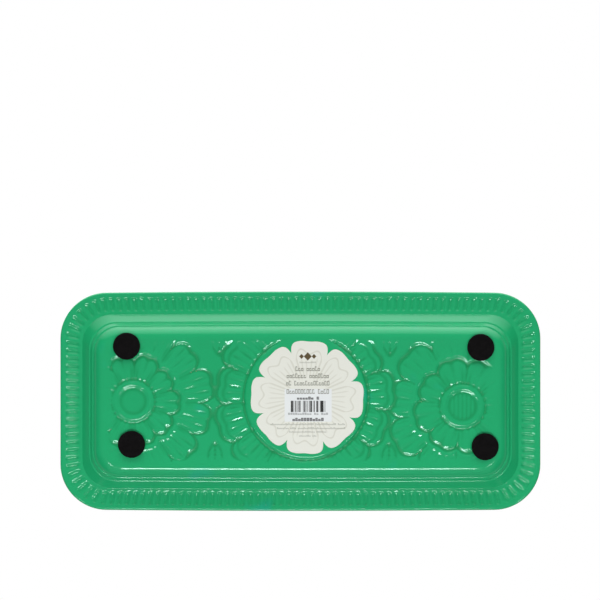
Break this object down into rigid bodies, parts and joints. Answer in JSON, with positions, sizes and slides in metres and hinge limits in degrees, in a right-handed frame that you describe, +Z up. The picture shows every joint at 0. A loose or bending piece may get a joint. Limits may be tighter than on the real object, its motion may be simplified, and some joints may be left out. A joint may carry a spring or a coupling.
{
  "type": "serving tray",
  "caption": "Long rectangular pressed tinplate tray with rounded corners, a fluted flange, a rolled edge, embossed flowers, stick-on foam feet and a flower-shaped paper label underneath.",
  "frame": {"origin": "on the plane that the feet rest on, under the middle of the tray's outline", "axes": "+X along the tray's length, +Y across it, +Z up out of the well, as the tray is used"},
  "size_m": [0.35, 0.16, 0.02],
  "materials": {
    "lacquer": "glossy green lacquer on pressed tinplate",
    "foam": "matt black closed-cell foam with a fine felted face",
    "film": "double-sided adhesive film",
    "paper": "uncoated cream sticker paper with pale print"
  },
  "bodies": {
    "root": {"tray_pan": "lacquer", "foot_pad_front_left": "foam", "foot_pad_front_right": "foam", "foot_pad_rear_left": "foam", "foot_pad_rear_right": "foam", "foot_adhesive_front_left": "film", "foot_adhesive_front_right": "film", "foot_adhesive_rear_left": "film", "foot_adhesive_rear_right": "film", "base_label": "paper"}
  },
  "joints": []
}
